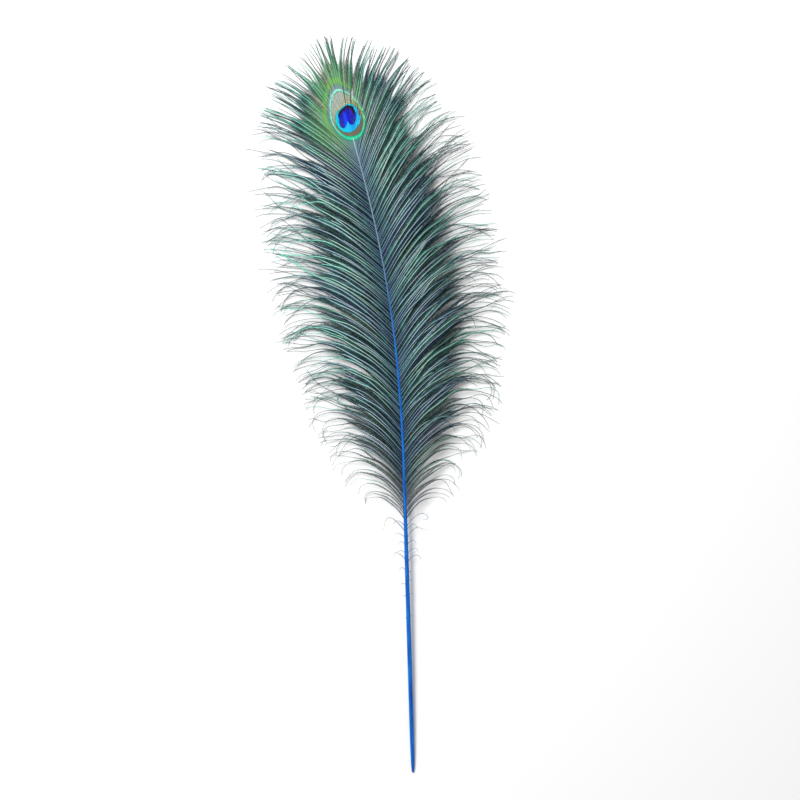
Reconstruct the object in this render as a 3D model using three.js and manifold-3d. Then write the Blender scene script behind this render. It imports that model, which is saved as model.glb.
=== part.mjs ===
// One peacock tail feather with a dyed shaft, lying face up. Millimetres, +Z up, Z = 0 is the surface it lies on.
// The feather points along +Y: quill at -Y, eye at +Y. It grew as one piece, so it is one closed solid:
// the shaft, the egg-shaped eye and the barbs, which are gathered here into broad pointed locks.
import * as THREE from "three";
import { mergeVertices } from "three/addons/utils/BufferGeometryUtils.js";
import Module from "manifold-3d";

// Driving dimensions. A station is the distance along the shaft from the quill's tip.
const LENGTH = 822; // quill's tip to the highest barb tip, along the feather
const FIRST_BARB = 275; // the shaft is bare below this station
const EYE_LOCKS_FROM = 652; // locks that start above this station run through the eye
const EYE_HEART = 729; // the middle of the eye's blue heart
const SHAFT_TIP = 724;
const HEADING_AT_QUILL = 5; // degrees from +Y, positive to the right
const HEADING_AT_EYE = -9.5;
const BEND_FROM = 290; // the shaft bends between these two stations
const BEND_TO = 760;
const ARCH = 9; // how far the middle of the shaft stands off the surface
const EYE_WIDTH = 43;
const EYE_LOWER_PART = 23.5; // from the eye's widest line down to its lower end
const EYE_UPPER_PART = 40.5; // from the widest line up to the narrower end
const EYE_WIDEST_BELOW_HEART = 5.5;
const EYE_THICKNESS = 2.4;

// The shaft's radius by station: a pointed quill, a stout bare stem and a long taper.
const SHAFT_RADIUS = [
  [0, 1.1],
  [14, 2.0],
  [60, 2.4],
  [220, 2.35],
  [345, 1.8],
  [500, 1.25],
  [650, 0.8],
  [SHAFT_TIP, 0.5],
];

// How the barbs grow, by the station that they start from: length, and slant from the shaft in degrees at both ends.
const BARB_LENGTH = [
  [FIRST_BARB, 52],
  [312, 100],
  [375, 136],
  [460, 152],
  [550, 154],
  [632, 142],
  [672, 126],
  [SHAFT_TIP, LENGTH - SHAFT_TIP],
];
const SLANT_AT_SHAFT = [
  [FIRST_BARB, 30],
  [320, 35],
  [460, 38],
  [610, 38],
  [662, 33],
  [704, 19],
  [SHAFT_TIP, 0],
];
const SLANT_AT_TIP = [
  [FIRST_BARB, 124],
  [320, 116],
  [400, 103],
  [470, 93],
  [560, 78],
  [632, 64],
  [676, 52],
  [704, 33],
  [SHAFT_TIP, 0],
];
const SLANT_GROWTH = 1.5; // a barb bends mostly in its outer part
const BARB_RISE = 13; // how high a barb arches before it comes down to the surface
const FLAT_FROM = 600; // between these two stations the feather settles flat
const FLAT_TO = 690;

// The locks. Each gathers the barbs of one stretch of shaft on one side.
const LOCKS_PER_SIDE = 24;
const EYE_LOCKS_PER_SIDE = 8;
const TOP_LOCK_HALF_SPAN = 4;
const LOCK_STEPS = 8;
const LOCK_HALF_THICKNESS = 0.85;
const LOCK_TIP_HALF_THICKNESS = 0.3;
const LOCK_SINK = 0.5; // locks leave the shaft a little below its middle line
const LOCK_BASE_SHARE = 1.04; // neighbours just overlap at the shaft
const LOCK_TIP_SHARE = 0.1; // width left at the tip
const LOCK_UNEVENNESS = 0.05; // how much the locks' lengths differ
const SHAFT_SIDES = 8;
const SHAFT_STEPS = 36;
const EYE_SIDES = 24;

const WALK_STEP = 3; // the step for adding up the shaft's bend
const RIGHT = 1;
const LEFT = -1;
const UP = new THREE.Vector3(0, 0, 1);

/** The value at x on a smooth curve through a list of [x, value] points. */
function profile(points, x) {
  const last = points.length - 1;
  if (x <= points[0][0]) return points[0][1];
  if (x >= points[last][0]) return points[last][1];
  const i = points.findIndex((point) => point[0] > x) - 1;
  const run = points[i + 1][0] - points[i][0];
  const t = (x - points[i][0]) / run;
  const chord = THREE.MathUtils.lerp(points[i][1], points[i + 1][1], t);
  const rate = (points[i + 1][1] - points[i][1]) / run;
  const leaving = slopeAt(points, i) - rate;
  const arriving = slopeAt(points, i + 1) - rate;
  return chord + run * t * (1 - t) * (leaving * (1 - t) - arriving * t);
}

/** The slope of that smooth curve at point k of its list. */
function slopeAt(points, k) {
  const before = points[Math.max(k - 1, 0)];
  const after = points[Math.min(k + 1, points.length - 1)];
  return (after[1] - before[1]) / (after[0] - before[0]);
}

/** The shaft's heading in radians at a station. */
function heading(station) {
  const bend = THREE.MathUtils.smoothstep(station, BEND_FROM, BEND_TO);
  return THREE.MathUtils.degToRad(THREE.MathUtils.lerp(HEADING_AT_QUILL, HEADING_AT_EYE, bend));
}

/** A level unit vector, turned clockwise from +Y by an angle in radians. */
function direction(angle) {
  return new THREE.Vector3(Math.sin(angle), Math.cos(angle), 0);
}

/** How far the feather has settled flat at a station: 0 where it arches, 1 at the eye. */
function flatness(station) {
  return THREE.MathUtils.smoothstep(station, FLAT_FROM, FLAT_TO);
}

/** The height of the shaft's middle line above the surface. */
function shaftHeight(station) {
  const resting = THREE.MathUtils.lerp(profile(SHAFT_RADIUS, station), EYE_THICKNESS / 2, flatness(station));
  return resting + ARCH * Math.sin((Math.PI * Math.min(station, SHAFT_TIP)) / SHAFT_TIP);
}

/** The shaft's middle line, carried on through the eye. Its parameter runs evenly with the station. */
function makeMiddleLine() {
  const points = [];
  const place = new THREE.Vector3();
  for (let station = 0; station <= LENGTH; station += WALK_STEP) {
    points.push(place.clone().setZ(shaftHeight(station)));
    place.addScaledVector(direction(heading(station + WALK_STEP / 2)), WALK_STEP);
  }
  return new THREE.CatmullRomCurve3(points);
}

const middleLine = makeMiddleLine();

/** The point of the middle line at a station. */
function shaftPoint(station) {
  return middleLine.getPoint(station / LENGTH);
}

/** The height of a barb at a share t of its length: off the shaft, over a low arch, down to the surface. */
function barbHeight(station, t) {
  const resting = THREE.MathUtils.lerp(LOCK_HALF_THICKNESS, LOCK_TIP_HALF_THICKNESS, t);
  const start = Math.max(shaftPoint(station).z - LOCK_SINK - LOCK_HALF_THICKNESS, 0);
  const rise = BARB_RISE * (1 - flatness(station));
  return resting + start * (1 - t) ** 1.5 + rise * 4 * t * (1 - t) ** 1.6;
}

/** One barb's middle line from the shaft to its tip. stretch lengthens or shortens it. */
function makeBarb(station, side, stretch) {
  const length = profile(BARB_LENGTH, station) * stretch;
  const near = THREE.MathUtils.degToRad(profile(SLANT_AT_SHAFT, station));
  const far = THREE.MathUtils.degToRad(profile(SLANT_AT_TIP, station));
  const place = shaftPoint(station);
  const points = [];
  for (let i = 0; i <= LOCK_STEPS; i += 1) {
    const t = i / LOCK_STEPS;
    points.push(place.clone().setZ(barbHeight(station, t)));
    const slant = THREE.MathUtils.lerp(near, far, (t + 0.5 / LOCK_STEPS) ** SLANT_GROWTH);
    place.addScaledVector(direction(heading(station) + side * slant), length / LOCK_STEPS);
  }
  return new THREE.CatmullRomCurve3(points);
}

const wasm = await Module();
wasm.setup();

/** A closed three.js geometry as a solid that can be joined. */
function solidOf(geometry) {
  const bare = geometry.clone();
  bare.deleteAttribute("normal");
  bare.deleteAttribute("uv");
  const merged = mergeVertices(bare, 1e-4);
  const mesh = new wasm.Mesh({
    numProp: 3,
    vertProperties: new Float32Array(merged.attributes.position.array),
    triVerts: new Uint32Array(merged.index.array),
  });
  return new wasm.Manifold(mesh);
}

/** A solid as a three.js geometry. */
function geometryOf(solid) {
  const mesh = solid.getMesh();
  const geometry = new THREE.BufferGeometry();
  geometry.setAttribute("position", new THREE.BufferAttribute(mesh.vertProperties, 3));
  geometry.setIndex(new THREE.BufferAttribute(mesh.triVerts, 1));
  geometry.computeVertexNormals();
  return geometry;
}

/** Moves each vertex of a geometry to the point that place(x, y, z) gives for it. */
function reshape(geometry, place) {
  const position = geometry.attributes.position;
  const vertex = new THREE.Vector3();
  for (let i = 0; i < position.count; i += 1) {
    vertex.fromBufferAttribute(position, i);
    position.setXYZ(i, ...place(vertex.x, vertex.y, vertex.z).toArray());
  }
  return geometry;
}

/** The shaft: a cylinder drawn out along the middle line, with the radius of each station. */
function makeShaft() {
  const cylinder = new THREE.CylinderGeometry(1, 1, 1, SHAFT_SIDES, SHAFT_STEPS);
  return reshape(cylinder, (x, y, z) => {
    const station = (y + 0.5) * SHAFT_TIP;
    const radius = profile(SHAFT_RADIUS, station);
    const along = middleLine.getTangent(station / LENGTH);
    const across = along.clone().cross(UP).normalize();
    const above = across.clone().cross(along);
    return shaftPoint(station).addScaledVector(across, x * radius).addScaledVector(above, z * radius);
  });
}

/** The eye: a low dome with a flat underside, drawn out to an egg that is narrower at its upper end. */
function makeEye() {
  const domeProfile = [
    new THREE.Vector2(0, 0),
    new THREE.Vector2(0.97, 0),
    new THREE.Vector2(1, EYE_THICKNESS * 0.3),
    new THREE.Vector2(0.72, EYE_THICKNESS * 0.85),
    new THREE.Vector2(0, EYE_THICKNESS),
  ];
  const along = direction(heading(EYE_HEART));
  const across = along.clone().cross(UP);
  const widest = shaftPoint(EYE_HEART).addScaledVector(along, -EYE_WIDEST_BELOW_HEART);
  return reshape(new THREE.LatheGeometry(domeProfile, EYE_SIDES), (x, y, z) => {
    const reach = z > 0 ? EYE_LOWER_PART : EYE_UPPER_PART;
    const point = widest.clone().addScaledVector(across, (x * EYE_WIDTH) / 2);
    return point.addScaledVector(along, -z * reach).setZ(y);
  });
}

/** One lock: a flat pointed blade along its middle barb, between the barbs at its right and left edges. */
function makeLock(middle, rightEdge, leftEdge) {
  const blade = new THREE.CylinderGeometry(1, 1, 1, 4, LOCK_STEPS);
  return reshape(blade, (x, y, z) => {
    const t = y + 0.5;
    const share = THREE.MathUtils.lerp(LOCK_BASE_SHARE, LOCK_TIP_SHARE, t ** 3) * Math.abs(x);
    const thickness = THREE.MathUtils.lerp(LOCK_HALF_THICKNESS, LOCK_TIP_HALF_THICKNESS, t);
    const edge = x > 0 ? rightEdge : leftEdge;
    const point = middle.getPoint(t).lerp(edge.getPoint(t), share);
    return point.setZ(point.z + z * thickness);
  });
}

/** A row of locks on one side of the shaft, side by side between two stations. */
function makeRow(from, to, count, side) {
  const span = (to - from) / count;
  return Array.from({ length: count }, (unused, i) => {
    const station = from + i * span;
    const stretch = 1 + LOCK_UNEVENNESS * Math.sin(2.4 * i + side);
    const lower = makeBarb(station, side, stretch);
    const upper = makeBarb(station + span, side, stretch);
    const middle = makeBarb(station + span / 2, side, stretch);
    return side === RIGHT ? makeLock(middle, lower, upper) : makeLock(middle, upper, lower);
  });
}

/** All the locks: both vanes, the fans on both sides of the eye, and the one lock straight above it. */
function makeLocks() {
  const rows = [LEFT, RIGHT].flatMap((side) => [
    ...makeRow(FIRST_BARB, EYE_LOCKS_FROM, LOCKS_PER_SIDE, side),
    ...makeRow(EYE_LOCKS_FROM, SHAFT_TIP, EYE_LOCKS_PER_SIDE, side),
  ]);
  const besideTop = SHAFT_TIP - TOP_LOCK_HALF_SPAN;
  const top = makeLock(
    makeBarb(SHAFT_TIP, RIGHT, 1),
    makeBarb(besideTop, RIGHT, 1),
    makeBarb(besideTop, LEFT, 1),
  );
  return [...rows, top];
}

/** The whole feather as one closed geometry. */
function makeFeather() {
  const solids = [makeShaft(), makeEye(), ...makeLocks()].map(solidOf);
  return geometryOf(solids.reduce((whole, piece) => whole.add(piece)));
}

const geometry = makeFeather();
geometry.computeBoundingBox();
const centre = geometry.boundingBox.getCenter(new THREE.Vector3());

const dyedBarbs = new THREE.MeshStandardMaterial({ color: 0x2f5f5a, roughness: 0.6, metalness: 0.1 });
const feather = new THREE.Mesh(geometry, dyedBarbs);
feather.name = "feather";
feather.position.set(-centre.x, -centre.y, 0);

const group = new THREE.Group();
group.add(feather);

export default group;
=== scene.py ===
"""One peacock tail feather with a dyed shaft, lying face up: its looks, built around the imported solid."""

import logging
import math
from dataclasses import dataclass, field
from enum import Enum

import bpy
import numpy as np
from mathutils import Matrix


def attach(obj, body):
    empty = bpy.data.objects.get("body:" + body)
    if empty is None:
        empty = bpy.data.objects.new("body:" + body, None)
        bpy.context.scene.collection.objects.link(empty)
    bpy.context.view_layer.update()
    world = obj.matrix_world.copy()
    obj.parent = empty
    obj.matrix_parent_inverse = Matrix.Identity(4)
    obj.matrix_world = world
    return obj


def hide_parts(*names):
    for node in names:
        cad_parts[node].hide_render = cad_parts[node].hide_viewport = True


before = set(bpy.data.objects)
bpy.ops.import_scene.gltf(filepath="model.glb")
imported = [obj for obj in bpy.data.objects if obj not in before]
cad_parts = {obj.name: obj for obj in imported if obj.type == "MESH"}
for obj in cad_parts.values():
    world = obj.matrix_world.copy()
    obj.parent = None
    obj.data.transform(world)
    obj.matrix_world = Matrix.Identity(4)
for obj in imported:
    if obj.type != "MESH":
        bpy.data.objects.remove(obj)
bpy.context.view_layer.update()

log = logging.getLogger("peacock_feather")

MM = 0.001  # metres in a millimetre
NODE = "feather"
BODY = "root"
BAKE_LAYER = "OFBake"
KERATIN_IOR = 1.55
UP = np.array([0.0, 0.0, 1.0])


class Side(Enum):
    """The two sides of the shaft, seen from above with the quill towards the viewer."""

    LEFT = -1
    RIGHT = 1


class Stretch(Enum):
    """The stretches of barbs: wisps on the bare stem, two of loose vane, and those through the eye."""

    STEM = "stem"
    LOWER = "lower_vane"
    UPPER = "upper_vane"
    EYE = "eye"


def linear(code: str) -> tuple[float, float, float, float]:
    """Turns an sRGB hex colour into a linear colour with full alpha.

    Args:
        code: The colour as #RRGGBB.

    Returns:
        Linear red, green, blue and alpha.
    """
    shares = [int(code[i : i + 2], 16) / 255 for i in (1, 3, 5)]
    curve = [s / 12.92 if s <= 0.04045 else ((s + 0.055) / 1.055) ** 2.4 for s in shares]
    return (*curve, 1.0)


def ease(x: np.ndarray | float, low: float, high: float) -> np.ndarray:
    """Rises smoothly from 0 at low to 1 at high.

    Args:
        x: Where to read the curve.
        low: The value of x below which the result is 0.
        high: The value of x above which the result is 1.

    Returns:
        The eased shares, in the shape of x.
    """
    share = np.clip((np.asarray(x, float) - low) / (high - low), 0.0, 1.0)
    return share * share * (3 - 2 * share)


def blend(start: np.ndarray | float, end: np.ndarray | float, share: np.ndarray) -> np.ndarray:
    """Goes evenly from start, at share 0, to end, at share 1."""
    return start + (end - start) * share


def tube_faces(rings: int, columns: int) -> np.ndarray:
    """Numbers the faces between neighbouring rings of points.

    Args:
        rings: The number of rings, one numbered after the other.
        columns: The number of points in each.

    Returns:
        Point numbers in rows of four.
    """
    number = np.arange(rings * columns).reshape(rings, columns)
    corners = [number[:-1, :-1], number[:-1, 1:], number[1:, 1:], number[1:, :-1]]
    return np.stack(corners, axis=-1).reshape(-1, 4)


@dataclass(frozen=True)
class Profile:
    """A smooth curve through a few points, flat beyond its ends."""

    points: tuple[tuple[float, float], ...]

    def at(self, x: np.ndarray | float) -> np.ndarray:
        """Reads the curve.

        Args:
            x: Where to read it.

        Returns:
            The values at x.
        """
        xs, ys = np.array(self.points, float).T
        slopes = np.empty_like(ys)
        slopes[1:-1] = (ys[2:] - ys[:-2]) / (xs[2:] - xs[:-2])
        slopes[0] = (ys[1] - ys[0]) / (xs[1] - xs[0])
        slopes[-1] = (ys[-1] - ys[-2]) / (xs[-1] - xs[-2])
        x = np.clip(np.asarray(x, float), xs[0], xs[-1])
        i = np.clip(np.searchsorted(xs, x, side="right") - 1, 0, len(xs) - 2)
        run = xs[i + 1] - xs[i]
        t = (x - xs[i]) / run
        rate = (ys[i + 1] - ys[i]) / run
        bulge = (slopes[i] - rate) * (1 - t) - (slopes[i + 1] - rate) * t
        return ys[i] + (ys[i + 1] - ys[i]) * t + run * t * (1 - t) * bulge


@dataclass(frozen=True)
class Growth:
    """How the feather grows. Millimetres and degrees, by station: the distance from the quill's tip."""

    length: float = 822.0
    first_wisp: float = 140.0
    wisps_longer_from: float = 200.0
    first_barb: float = 275.0
    vane_full_from: float = 400.0
    upper_vane_from: float = 460.0
    vane_firm_from: float = 560.0
    eye_barbs_from: float = 652.0
    shaft_covered_from: float = 700.0
    heart_edge: float = 709.0
    shaft_tip: float = 724.0
    heart: float = 729.0
    heading_at_quill: float = 5.0
    heading_at_eye: float = -9.5
    bend_from: float = 290.0
    bend_to: float = 760.0
    arch: float = 9.0
    flat_from: float = 600.0
    flat_to: float = 690.0
    eye_rests_at: float = 1.3  # the middle line's height under the eye
    heart_cover: float = 0.3  # how far over the shaft the heart's barbs lie
    barb_rise: float = 12.0
    rise_fading: float = 1.6  # the higher, the closer to the shaft a barb's arch is
    tip_height: float = 0.4
    settling: float = 1.5  # the higher, the sooner a barb comes down from the shaft
    slant_growth: float = 1.5  # the higher, the further out a barb's slant turns
    shaft_radius: Profile = Profile(
        ((0, 1.2), (6, 1.7), (20, 2.1), (70, 2.4), (220, 2.3), (345, 1.7), (500, 1.1), (650, 0.7), (724, 0.4))
    )
    barb_length: Profile = Profile(
        ((275, 50), (312, 100), (375, 136), (460, 152), (550, 154), (632, 142), (672, 126), (724, 97))
    )
    slant_at_shaft: Profile = Profile(
        ((275, 30), (320, 35), (460, 38), (610, 38), (662, 33), (704, 19), (724, 0))
    )
    slant_at_tip: Profile = Profile(
        ((275, 124), (320, 116), (400, 103), (470, 93), (560, 78), (632, 64), (676, 52), (704, 33), (724, 0))
    )

    def heading(self, station: np.ndarray | float) -> np.ndarray:
        """The shaft's heading in radians, clockwise from +Y."""
        bend = ease(station, self.bend_from, self.bend_to)
        return np.radians(self.heading_at_quill + (self.heading_at_eye - self.heading_at_quill) * bend)

    def flatness(self, station: np.ndarray | float) -> np.ndarray:
        """How far the feather has settled flat: 0 where it arches, 1 at the eye."""
        return ease(station, self.flat_from, self.flat_to)

    def fullness(self, station: np.ndarray | float) -> np.ndarray:
        """How full the vane is: 0 at its sparse, straggly lower end, 1 further up."""
        return ease(station, self.first_barb, self.vane_full_from)

    def looseness(self, station: np.ndarray | float) -> np.ndarray:
        """How much more than usual the barbs wave and droop: 1 at the vane's lower end, 0 further up."""
        return 1 - ease(station, self.first_barb, self.vane_firm_from)

    def shaft_height(self, station: np.ndarray | float) -> np.ndarray:
        """Finds the height of the shaft's middle line above the surface.

        Args:
            station: Distances from the quill's tip.

        Returns:
            Heights in millimetres.
        """
        station = np.minimum(station, self.shaft_tip)
        resting = blend(self.shaft_radius.at(station), self.eye_rests_at, self.flatness(station))
        return resting + self.arch * np.sin(np.pi * station / self.shaft_tip)

    def middle_line(self, station: np.ndarray | float) -> np.ndarray:
        """Finds points of the shaft's middle line, which is carried on through the eye.

        Args:
            station: Distances from the quill's tip.

        Returns:
            Points in millimetres, from the quill's tip, one row for each station.
        """
        grid = np.arange(0.0, self.length + 1.0)
        turn = self.heading(grid[:-1] + 0.5)
        x = np.concatenate([[0.0], np.cumsum(np.sin(turn))])
        y = np.concatenate([[0.0], np.cumsum(np.cos(turn))])
        station = np.asarray(station, float)
        return np.stack(
            [np.interp(station, grid, x), np.interp(station, grid, y), self.shaft_height(station)], axis=-1
        )

    def barbs(
        self, station: np.ndarray, side: Side, steps: int, stretch: np.ndarray, bend: np.ndarray
    ) -> np.ndarray:
        """Walks out the middle lines of some barbs.

        Args:
            station: Where each barb leaves the shaft.
            side: The side that they grow on.
            steps: The number of steps of each line.
            stretch: How much longer or shorter than usual each barb is.
            bend: Degrees added to the slant at each step, in rows of that many steps.

        Returns:
            Points in millimetres, in an array of barbs by steps + 1 by 3.
        """
        share = (np.arange(steps) + 0.5) / steps
        near = self.slant_at_shaft.at(station)[:, None]
        far = self.slant_at_tip.at(station)[:, None]
        slant = np.radians(blend(near, far, share**self.slant_growth) + bend)
        angle = self.heading(station)[:, None] + side.value * slant
        stride = (self.barb_length.at(station) * stretch)[:, None] / steps
        start = self.middle_line(station)
        lines = np.empty((len(station), steps + 1, 3))
        lines[:, 0, :2] = start[:, :2]
        lines[:, 1:, 0] = start[:, None, 0] + np.cumsum(np.sin(angle) * stride, axis=1)
        lines[:, 1:, 1] = start[:, None, 1] + np.cumsum(np.cos(angle) * stride, axis=1)
        lines[:, :, 2] = self.barb_height(station, np.linspace(0, 1, steps + 1))
        return lines

    def barb_height(self, station: np.ndarray, share: np.ndarray) -> np.ndarray:
        """Heights of barbs along their length: off the shaft, over a low arch, down to the surface.

        Args:
            station: Where each barb leaves the shaft.
            share: Shares of a barb's length.

        Returns:
            Heights in an array of stations by shares.
        """
        covered = ease(station, self.shaft_covered_from, self.heart_edge)
        covering = (self.shaft_radius.at(station) + self.heart_cover) * covered
        start = (self.shaft_height(station) + covering)[:, None]
        rise = (self.barb_rise * (1 - self.flatness(station)))[:, None]
        arch = rise * 4 * share * (1 - share) ** self.rise_fading
        return blend(self.tip_height, start, (1 - share) ** self.settling) + arch


@dataclass(frozen=True)
class EyePlan:
    """The eye's nested shapes, measured from the middle of the heart.

    The unit is the eye's width over the thin grey band outside the mint ring, and a tilt is in degrees
    clockwise from the shaft's heading.
    """

    growth: Growth
    width: float = 43.0  # millimetres
    ring_tilt: float = -5.7
    ring_middle: tuple[float, float] = (0.005, -0.03)
    ring_half_width: float = 0.42
    ring_below: float = 0.59
    ring_above: float = 0.775
    ring_narrowing: float = 0.26
    ring_inside: float = 0.92
    ring_inside_below: float = 0.885
    thicker_below: tuple[float, float] = (-0.55, -0.2)  # the ring gets thicker downwards between these
    thicker_left: tuple[float, float] = (0.05, 0.26)  # and leftwards between these
    disc_tilt: float = 9.8
    disc_middle: tuple[float, float] = (0.007, -0.041)
    disc_half_width: float = 0.314
    disc_half_height: float = 0.381
    flank_tilt: float = -24.0  # where the disc's and the heart's upper left sides are flattened
    disc_flank: float = 0.258
    heart_flank: float = 0.23
    rounding: float = 8.0  # how sharply a flattened side meets the curve beside it
    heart_tilt: float = 8.0
    dome_half_width: float = 0.222
    dome_height: float = 0.305
    dome_depth: float = 0.075
    lobe_middle: tuple[float, float] = (0.111, -0.02)
    lobe_half_width: float = 0.116
    lobe_half_height: float = 0.245
    lobe_lean: float = 0.25
    streak_place: float = -0.045
    leftward_lean: float = 0.4  # how much being higher up counts as being further left
    ground_slant: float = 0.7  # how much being further right counts as being lower
    firm_until: tuple[float, float] = (1.1, 1.5)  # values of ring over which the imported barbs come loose
    splits_open: tuple[float, float] = (1.0, 1.3)  # values of disc over which a split opens

    def place(self, points: np.ndarray) -> tuple[np.ndarray, np.ndarray]:
        """Measures points across and along the eye.

        Args:
            points: Points in millimetres from the quill's tip.

        Returns:
            How far right of the heart's middle they are, and how far towards the feather's end.
        """
        heart = self.growth.middle_line(self.growth.heart)
        turn = float(self.growth.heading(self.growth.heart))
        dx = (points[..., 0] - heart[0]) / self.width
        dy = (points[..., 1] - heart[1]) / self.width
        across = dx * math.cos(turn) - dy * math.sin(turn)
        along = dx * math.sin(turn) + dy * math.cos(turn)
        return across, along

    def fields(self, points: np.ndarray) -> dict[str, np.ndarray]:
        """Works out where points lie in the eye's pattern.

        Args:
            points: Points in millimetres from the quill's tip.

        Returns:
            Fields by name. ring, disc, dome and heart are 1 on the edge of their shape and less inside it.
            rim rises from 0 on the mint ring's inner edge to 1 on its outer edge.
        """
        u, v = self.place(points)
        ring_u, ring_v = self._turned(u, v, self.ring_tilt)
        ring_u, ring_v = ring_u - self.ring_middle[0], ring_v - self.ring_middle[1]
        narrowing = self.ring_narrowing * np.clip(ring_v / self.ring_above, 0, 1) ** 2
        reach = np.where(ring_v > 0, self.ring_above, self.ring_below)
        ring = np.hypot(ring_u / (self.ring_half_width * (1 - narrowing)), ring_v / reach)
        thicker = (1 - ease(v, *self.thicker_below)) * (1 - ease(u, *self.thicker_left))
        inside = blend(self.ring_inside, self.ring_inside_below, thicker)
        flank = self._turned(u, v, self.flank_tilt)[1]
        disc_u, disc_v = self._turned(u, v, self.disc_tilt)
        disc_u = (disc_u - self.disc_middle[0]) / self.disc_half_width
        disc_v = (disc_v - self.disc_middle[1]) / self.disc_half_height
        disc = self._flattened(np.hypot(disc_u, disc_v), (flank - self.disc_flank) / self.disc_half_width)
        heart_u, heart_v = self._turned(u, v, self.heart_tilt)
        dome_v = heart_v / np.where(heart_v > 0, self.dome_height, self.dome_depth)
        dome = np.hypot(heart_u / self.dome_half_width, dome_v)
        dome = self._flattened(dome, (flank - self.heart_flank) / self.dome_half_width)
        lobe_u = (np.abs(heart_u) - self.lobe_middle[0]) / self.lobe_half_width
        lobe_v = (heart_v - self.lobe_lean * heart_u - self.lobe_middle[1]) / self.lobe_half_height
        return {
            "ring": ring,
            "rim": (ring - inside) / (1 - inside),
            "disc": disc,
            "dome": dome,
            "heart": np.maximum(np.minimum(dome, np.hypot(lobe_u, lobe_v)), disc),
            "eye_u": u,
            "eye_v": v,
            "leftward": self.leftward_lean * v - u,
            "slanted": v - self.ground_slant * u,
            "heart_v": heart_v,
            "aside": np.abs(heart_u),
            "beside": np.abs(heart_u - self.streak_place),
        }

    def _flattened(self, shape: np.ndarray, beyond: np.ndarray) -> np.ndarray:
        """Flattens one side of a shape that is 1 on its edge, rounding the corners.

        Args:
            shape: The shape's values.
            beyond: How far past the flat side each point is, as a share of the shape's size.

        Returns:
            The flattened shape's values.
        """
        flat = np.clip(1 + beyond, 0, None)
        return (shape**self.rounding + flat**self.rounding) ** (1 / self.rounding)

    def _turned(self, u: np.ndarray, v: np.ndarray, degrees: float) -> tuple[np.ndarray, np.ndarray]:
        """Measures places along axes that are turned clockwise by some degrees."""
        sine, cosine = math.sin(math.radians(degrees)), math.cos(math.radians(degrees))
        return u * cosine - v * sine, u * sine + v * cosine


@dataclass
class PieceMesh:
    """A mesh under construction, in millimetres from the quill's tip, with its fields and its bake layout."""

    name: str
    points: list[np.ndarray] = field(default_factory=list)
    faces: list[np.ndarray] = field(default_factory=list)
    layout: list[np.ndarray] = field(default_factory=list)
    fields: dict[str, list[np.ndarray]] = field(default_factory=dict)
    count: int = 0

    def add(
        self, points: np.ndarray, faces: np.ndarray, layout: np.ndarray, fields: dict[str, np.ndarray]
    ) -> None:
        """Adds a batch of points and the faces between them.

        Args:
            points: Points in rows of three.
            faces: Point numbers within the batch, in rows of three or four.
            layout: Places in the bake layout, one row for each point.
            fields: Values by name, one for each point.
        """
        self.points.append(points)
        self.faces.append(faces + self.count)
        self.layout.append(layout)
        for name, values in fields.items():
            self.fields.setdefault(name, []).append(values)
        self.count += len(points)

    def finish(self, origin: np.ndarray, smooth: bool) -> bpy.types.Object:
        """Makes the Blender object, in metres in the part's own frame.

        Args:
            origin: Where the quill's tip lies, in millimetres.
            smooth: Whether the faces are shaded smooth.

        Returns:
            The object, linked to the scene.
        """
        points = (np.concatenate(self.points) + origin) * MM
        corners = np.concatenate([batch.ravel() for batch in self.faces])
        sizes = np.concatenate([np.full(len(batch), batch.shape[1]) for batch in self.faces])
        starts = np.concatenate([[0], np.cumsum(sizes)[:-1]])
        mesh = bpy.data.meshes.new(self.name)
        mesh.vertices.add(len(points))
        mesh.vertices.foreach_set("co", points.astype(np.float32).ravel())
        mesh.loops.add(len(corners))
        mesh.loops.foreach_set("vertex_index", corners.astype(np.int32))
        mesh.polygons.add(len(starts))
        mesh.polygons.foreach_set("loop_start", starts.astype(np.int32))
        mesh.update(calc_edges=True)
        mesh.polygons.foreach_set("use_smooth", np.full(len(starts), smooth))
        for name, batches in self.fields.items():
            attribute = mesh.attributes.new(name, "FLOAT", "POINT")
            attribute.data.foreach_set("value", np.concatenate(batches).astype(np.float32))
        layer = mesh.uv_layers.new(name=BAKE_LAYER)
        layer.data.foreach_set("uv", np.concatenate(self.layout)[corners].astype(np.float32).ravel())
        piece = bpy.data.objects.new(self.name, mesh)
        bpy.context.scene.collection.objects.link(piece)
        return piece


def tie(piece: bpy.types.Object, material: bpy.types.Material) -> None:
    """Gives a piece its material, ties it to the body, hides the solid that it stands for, and reports it.

    Args:
        piece: The finished piece.
        material: Its material.
    """
    piece.data.materials.append(material)
    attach(piece, BODY)
    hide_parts(NODE)
    triangles = sum(len(polygon.vertices) - 2 for polygon in piece.data.polygons)
    log.info("%s: %d triangles", piece.name, triangles)


def add_node(
    tree: bpy.types.NodeTree,
    kind: str,
    settings: dict | None = None,
    inputs: dict | None = None,
    stops: list[tuple[float, str]] | None = None,
) -> bpy.types.Node:
    """Adds a node with its settings and links.

    Args:
        tree: The node tree.
        kind: The node's type.
        settings: The node's own settings by name.
        inputs: Values for its inputs, by name or number. An output of another node is linked.
        stops: For a colour ramp, its positions and colours.

    Returns:
        The node.
    """
    node = tree.nodes.new(kind)
    for name, value in (settings or {}).items():
        setattr(node, name, value)
    for name, value in (inputs or {}).items():
        if isinstance(value, bpy.types.NodeSocket):
            tree.links.new(value, node.inputs[name])
        else:
            node.inputs[name].default_value = value
    for i, (position, colour) in enumerate(stops or []):
        elements = node.color_ramp.elements
        element = elements[i] if i < 2 else elements.new(position)
        element.position = position
        element.color = linear(colour)
    return node


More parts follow.
